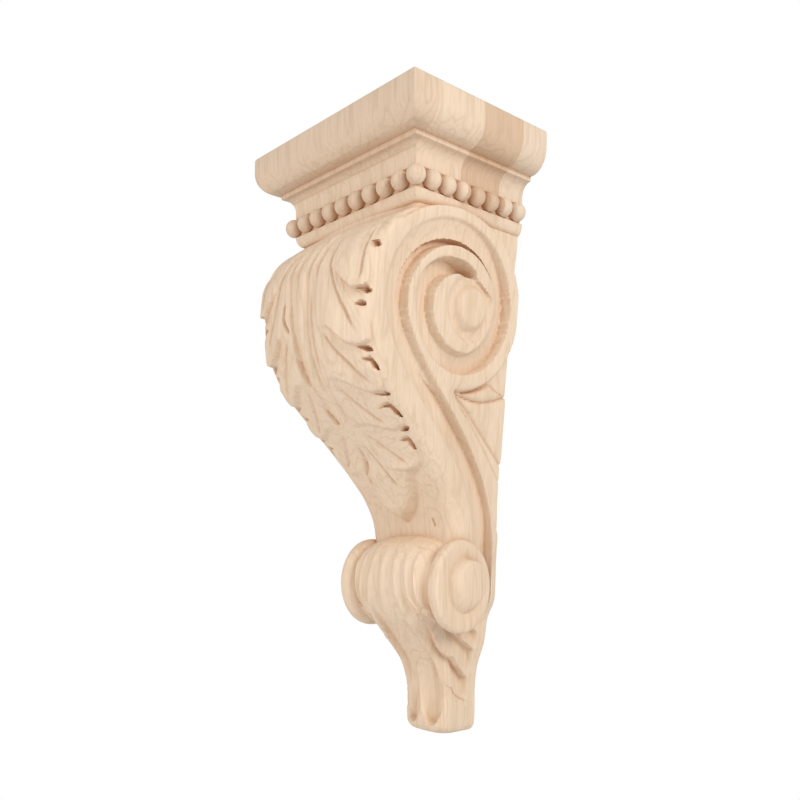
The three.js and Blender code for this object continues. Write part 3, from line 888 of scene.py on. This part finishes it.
def disc(name, side):
    select_nothing()
    facing = (0, math.pi / 2, 0)
    bpy.ops.mesh.primitive_circle_add(vertices=DISC_CORNERS, radius=1, fill_type="NGON", rotation=facing)
    obj = added(name)
    bpy.ops.object.transform_apply(rotation=True)
    take(obj, "EDIT")
    last = None
    for share, out, y, t in DISC_RINGS:
        centre = (side * out * MM, forward(y - DISC_BACK[side]), level(t))
        size = (1, share * DISC_OVALS[side][0] * MM, share * DISC_OVALS[side][1] * MM)
        if last is None:
            bpy.ops.transform.resize(value=size, center_override=(0, 0, 0))
            bpy.ops.transform.translate(value=centre)
        else:
            step = [b - a for a, b in zip(last[0], centre)]
            bpy.ops.mesh.extrude_region_move(TRANSFORM_OT_translate={"value": step})
            grow = (1, size[1] / last[1][1], size[2] / last[1][2])
            bpy.ops.transform.resize(value=grow, center_override=centre)
        last = (centre, size)
    bpy.ops.mesh.select_all(action="SELECT")
    bpy.ops.mesh.normals_make_consistent(inside=False)
    bpy.ops.object.mode_set(mode="OBJECT")
    return obj


discs = [disc("disc_right", 1), disc("disc_left", -1)]
print("disc faces:", [len(d.data.polygons) for d in discs])


# %% [markdown]
# ## One solid
# On the real corbel nothing is glued on: cap, beads, scroll and roll are one carved block. Here a Boolean
# union makes them one closed mesh, and Decimate takes away the corners that flat ground doesn't need.

# %% Join the forms
SCROLL_TRIANGLES = 170000
SMOOTH_ANGLE = math.radians(38)


def unite(whole, tool):
    take(whole)
    union = whole.modifiers.new("union", "BOOLEAN")
    union.operation = "UNION"
    union.solver = "MANIFOLD"
    union.object = tool
    bpy.ops.object.modifier_apply(modifier=union.name)
    bpy.data.objects.remove(tool)


take(scroll)
thin = scroll.modifiers.new("thin", "DECIMATE")
thin.ratio = min(1.0, SCROLL_TRIANGLES / count(scroll))
bpy.ops.object.modifier_apply(modifier=thin.name)
print("scroll triangles:", count(scroll))
for tool in [cap] + beads + discs:
    unite(scroll, tool)
corbel = scroll
corbel.name = "carved_corbel"
corbel.data.name = "carved_corbel"
take(corbel)
bpy.ops.object.shade_smooth_by_angle(angle=SMOOTH_ANGLE)
print("corbel triangles:", count(corbel))

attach(corbel, "root")
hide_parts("corbel")


# %% [markdown]
# ## The wood
# The block is pale, unfinished hardwood. Its boards stand side by side from back to front, so each glue line
# is an upright plane across the corbel. On the cap each board shows its own tint, and lower down the carving
# hides it, so one body tint takes over there. A node group gives the boards and their grain, and the material
# turns them into colour, roughness and a fine bump. Deep cuts also get painted shade: an Ambient Occlusion
# node finds them from the shape itself, and the colour there is darkened towards a warm brown.

# %% Node helpers
def colour(red, green, blue):
    """Colour from its display values, 0 to 255."""
    shares = (value / 255 for value in (red, green, blue))
    return tuple(c / 12.92 if c <= 0.04045 else ((c + 0.055) / 1.055) ** 2.4 for c in shares)


class Tree:
    def __init__(self, tree):
        self.tree = tree

    def add(self, kind, **values):
        node = self.tree.nodes.new("ShaderNode" + kind)
        for name, value in values.items():
            setattr(node, name, value)
        return node

    def link(self, output, socket):
        self.tree.links.new(output, socket)

    def math(self, operation, *inputs):
        node = self.add("Math", operation=operation)
        for socket, value in zip(node.inputs, inputs):
            if isinstance(value, (int, float)):
                socket.default_value = value
            else:
                self.link(value, socket)
        return node.outputs[0]

    def ramp(self, value, stops, interpolation="LINEAR"):
        node = self.add("ValToRGB")
        node.color_ramp.interpolation = interpolation
        self.link(value, node.inputs[0])
        for i, (place, tint) in enumerate(stops):
            stop = node.color_ramp.elements[i] if i < 2 else node.color_ramp.elements.new(place)
            stop.position = place
            stop.color = (*tint, 1)
        return node.outputs[0]

    def mix(self, share, first, second, blend="MIX"):
        node = self.add("Mix", data_type="RGBA", blend_type=blend)
        for socket, value in zip((node.inputs[0], node.inputs[6], node.inputs[7]), (share, first, second)):
            if isinstance(value, tuple):
                socket.default_value = (*value, 1)
            elif isinstance(value, (int, float)):
                socket.default_value = value
            else:
                self.link(value, socket)
        return node.outputs[2]


# %% Boards and grain as a node group
SEAMS = [80.4, 47.9, 19.0]
SEAM_HALF = 0.4 * MM
CAP_FADE = {"height": 8 * MM, "foot": 50 * MM}
BOARD_SHIFT = (0.37, 0.11)
GRAIN_STRETCH = 0.07
FIBRES = {"Scale": 900, "Detail": 3}
GROWTH = {"Scale": 55, "Detail": 2, "Distortion": 0.4}
GROWTH_LINES = 9.0


def noise(tree, vector, settings):
    node = tree.add("TexNoise")
    for name, value in settings.items():
        node.inputs[name].default_value = value
    tree.link(vector, node.inputs[0])
    return node.outputs[0]


def smallest(tree, values):
    return tree.math("MINIMUM", tree.math("MINIMUM", values[0], values[1]), values[2])


def grain_group():
    """Node group with the number of the board, its grain and figure, the seams, and a mask of the cap."""
    group = bpy.data.node_groups.new("boards_and_grain", "ShaderNodeTree")
    for name in ("Board", "Grain", "Figure", "Seam", "Above"):
        group.interface.new_socket(name=name, in_out="OUTPUT", socket_type="NodeSocketFloat")
    tree = Tree(group)
    place = tree.add("TexCoord").outputs["Object"]
    split = tree.add("SeparateXYZ")
    tree.link(place, split.inputs[0])
    depth = tree.math("MULTIPLY", split.outputs[1], -1.0)
    steps = [tree.math("GREATER_THAN", depth, seam * MM) for seam in SEAMS]
    board = tree.math("ADD", tree.math("ADD", steps[0], steps[1]), steps[2])
    gaps = [tree.math("ABSOLUTE", tree.math("SUBTRACT", depth, seam * MM)) for seam in SEAMS]
    seam = tree.math("SUBTRACT", 1.0, tree.math("DIVIDE", smallest(tree, gaps), SEAM_HALF))
    shift = tree.add("CombineXYZ")
    tree.link(tree.math("MULTIPLY", board, BOARD_SHIFT[0]), shift.inputs[0])
    tree.link(tree.math("MULTIPLY", board, BOARD_SHIFT[1]), shift.inputs[2])
    moved = tree.add("VectorMath", operation="ADD")
    tree.link(place, moved.inputs[0])
    tree.link(shift.outputs[0], moved.inputs[1])
    long = tree.add("Mapping")
    long.inputs["Scale"].default_value = (1, 1, GRAIN_STRETCH)
    tree.link(moved.outputs[0], long.inputs[0])
    waves = tree.math("FRACT", tree.math("MULTIPLY", noise(tree, long.outputs[0], GROWTH), GROWTH_LINES))
    figure = tree.math("ABSOLUTE", tree.math("SUBTRACT", waves, 0.5))
    lift = tree.math("SUBTRACT", split.outputs[2], TOP - CAP_FADE["foot"])
    above = tree.math("MAXIMUM", tree.math("DIVIDE", lift, CAP_FADE["height"]), 0.0)
    end = group.nodes.new("NodeGroupOutput")
    tree.link(board, end.inputs["Board"])
    tree.link(noise(tree, long.outputs[0], FIBRES), end.inputs["Grain"])
    tree.link(figure, end.inputs["Figure"])
    tree.link(seam, end.inputs["Seam"])
    tree.link(tree.math("MINIMUM", above, 1.0), end.inputs["Above"])
    return group


GRAIN = grain_group()
print("grain group:", len(GRAIN.nodes), "nodes")


# %% The carved wood
BOARD_TINTS = [colour(222, 201, 178), colour(207, 177, 148), colour(226, 203, 178), colour(218, 193, 168)]
BODY_TINT = colour(229, 205, 179)
GLUE_TINT = colour(190, 150, 110)
BOARD_SHOWS = {"cap": 0.8, "body": 0.15}
STREAKS = [(0.0, (0.90, 0.86, 0.80)), (0.22, (1, 1, 1)), (0.5, (1.0, 0.99, 0.98))]
STREAK_SHARE = 0.75
FIBRE_TONES = [(0.3, (0.93, 0.91, 0.88)), (0.6, (1.02, 1.02, 1.02))]
FIBRE_SHARE = 0.9
GLUE_SHARE = 0.35
# Painted shade: deep cuts and crevices are darkened towards a warm brown by how occluded they are
PAINTED_SHADE_TINT = colour(196, 140, 98)
PAINTED_SHADE_REACH = 4.5 * MM
PAINTED_SHADE_TONES = [(0.35, (1, 1, 1)), (0.9, (0, 0, 0))]
PAINTED_SHADE_SHARE = 0.55
PAINTED_SHADE_SAMPLES = 6
ROUGH = {"least": 0.56, "more": 0.12}
SPECULAR = 0.35
FIBRE_BUMP = {"Strength": 0.25, "Distance": 0.0002}


def wood_colour(tree, grain_node):
    """The board's tint, with growth lines, fibres, glue lines and warm painted shade in the crevices over it.
    """
    board, grain, figure, seam, above = grain_node.outputs
    tints = [(i / len(BOARD_TINTS), tint) for i, tint in enumerate(BOARD_TINTS)]
    place = tree.math("DIVIDE", tree.math("ADD", board, 0.5), len(BOARD_TINTS))
    own = tree.math("ADD", tree.math("MULTIPLY", above, BOARD_SHOWS["cap"]), BOARD_SHOWS["body"])
    base = tree.mix(own, BODY_TINT, tree.ramp(place, tints, "CONSTANT"))
    base = tree.mix(STREAK_SHARE, base, tree.ramp(figure, STREAKS), "MULTIPLY")
    base = tree.mix(FIBRE_SHARE, base, tree.ramp(grain, FIBRE_TONES), "MULTIPLY")
    glue = tree.math("MULTIPLY", tree.math("MAXIMUM", seam, 0.0), GLUE_SHARE)
    base = tree.mix(tree.math("MULTIPLY", glue, above), base, GLUE_TINT)
    # Painted shade: an Ambient Occlusion node darkens the colour in cuts and crevices towards a warm brown;
    # hollow is its share
    shade_occlusion = tree.add("AmbientOcclusion", samples=PAINTED_SHADE_SAMPLES, only_local=True)
    shade_occlusion.inputs["Distance"].default_value = PAINTED_SHADE_REACH
    hollow = tree.ramp(shade_occlusion.outputs["AO"], PAINTED_SHADE_TONES)
    return tree.mix(tree.math("MULTIPLY", hollow, PAINTED_SHADE_SHARE), base, PAINTED_SHADE_TINT)


def wood():
    material = bpy.data.materials.new("pale_carved_wood")
    material.use_nodes = True
    tree = Tree(material.node_tree)
    shader = material.node_tree.nodes["Principled BSDF"]
    grain_node = tree.add("Group")
    grain_node.node_tree = GRAIN
    grain = grain_node.outputs["Grain"]
    tree.link(wood_colour(tree, grain_node), shader.inputs["Base Color"])
    rough = tree.math("ADD", tree.math("MULTIPLY", grain, ROUGH["more"]), ROUGH["least"])
    tree.link(rough, shader.inputs["Roughness"])
    shader.inputs["Specular IOR Level"].default_value = SPECULAR
    bump = tree.add("Bump")
    for name, value in FIBRE_BUMP.items():
        bump.inputs[name].default_value = value
    tree.link(grain, bump.inputs["Height"])
    tree.link(bump.outputs[0], shader.inputs["Normal"])
    return material


corbel.data.materials.clear()
corbel.data.materials.append(wood())
print("material:", corbel.data.materials[0].name)


# %% [markdown]
# ## Floor, light and camera
# The photograph shows the corbel against plain white, lit softly from the front and from its right. A pale
# floor lies a little below the foot, the world is pale grey, and two large soft lamps stand in front. A
# Light Path node lets the camera see floor and world as plain white, while their real tone lights the corbel.

# %% Pale floor
FLOOR_DROP = 0.35
FLOOR_SIZE = 12
FLOOR_TONE = (0.94, 0.94, 0.94, 1)
FLOOR_ROUGHNESS = 0.9
WHITE = (1, 1, 1, 1)


def white_to_camera(tree, kind, surface, target):
    """Mixes a plain white into a surface or a world, for the camera's own rays only."""
    white = tree.nodes.new(kind)
    white.inputs["Color"].default_value = WHITE
    white.inputs["Strength"].default_value = 1.0
    path = tree.nodes.new("ShaderNodeLightPath")
    mix = tree.nodes.new("ShaderNodeMixShader")
    tree.links.new(path.outputs["Is Camera Ray"], mix.inputs[0])
    tree.links.new(surface, mix.inputs[1])
    tree.links.new(white.outputs[0], mix.inputs[2])
    tree.links.new(mix.outputs[0], target)


select_nothing()
bpy.ops.mesh.primitive_plane_add(size=FLOOR_SIZE, location=(0, 0, FOOT - FLOOR_DROP))
floor = added("floor")
floor_paint = bpy.data.materials.new("floor_paint")
floor_paint.use_nodes = True
nodes = floor_paint.node_tree.nodes
paint = nodes["Principled BSDF"]
paint.inputs["Base Color"].default_value = FLOOR_TONE
paint.inputs["Roughness"].default_value = FLOOR_ROUGHNESS
target = nodes["Material Output"].inputs["Surface"]
white_to_camera(floor_paint.node_tree, "ShaderNodeEmission", paint.outputs[0], target)
floor.data.materials.append(floor_paint)
print("floor at", round(FOOT - FLOOR_DROP, 3), "m")


# %% Soft light
WORLD_LIGHT = 0.52
LAMPS = {
    "key": {"place": (0.9, -0.1, 0.25), "aim": (0, -0.05, -0.14), "size": 0.5, "power": 5.3},
    "fill": {"place": (-0.1, -1.1, 0.0), "aim": (0, -0.05, -0.16), "size": 0.6, "power": 4.5},
}


def lamp(name, place, aim, size, power):
    light = bpy.data.lights.new(name, "AREA")
    light.size = size
    light.energy = power
    obj = bpy.data.objects.new(name, light)
    bpy.context.collection.objects.link(obj)
    obj.location = place
    way = Vector(aim) - obj.location
    obj.rotation_euler = way.to_track_quat("-Z", "Y").to_euler()


world = bpy.data.worlds.new("studio")
bpy.context.scene.world = world
world.use_nodes = True
nodes = world.node_tree.nodes
sky = nodes["Background"]
sky.inputs["Color"].default_value = WHITE
sky.inputs["Strength"].default_value = WORLD_LIGHT
target = nodes["World Output"].inputs["Surface"]
white_to_camera(world.node_tree, "ShaderNodeBackground", sky.outputs[0], target)
for name, settings in LAMPS.items():
    lamp(name, **settings)
print("lamps:", list(LAMPS))


# %% Camera at the photograph's viewpoint
CAMERA_PLACE = (0.362565, -0.367729, -0.147943)
CAMERA_TURN = (90, -0.2313, 48.1832)
LENS = 39.295
SENSOR = 36
LENS_SHIFT = 0.1736
CLIP_START = 0.01
camera_data = bpy.data.cameras.new("camera")
camera_data.sensor_width = SENSOR
camera_data.lens = LENS
camera_data.shift_y = LENS_SHIFT
camera_data.clip_start = CLIP_START
camera = bpy.data.objects.new("camera", camera_data)
bpy.context.collection.objects.link(camera)
camera.location = CAMERA_PLACE
camera.rotation_euler = [math.radians(angle) for angle in CAMERA_TURN]
bpy.context.scene.camera = camera
bpy.context.scene.view_settings.view_transform = "Standard"
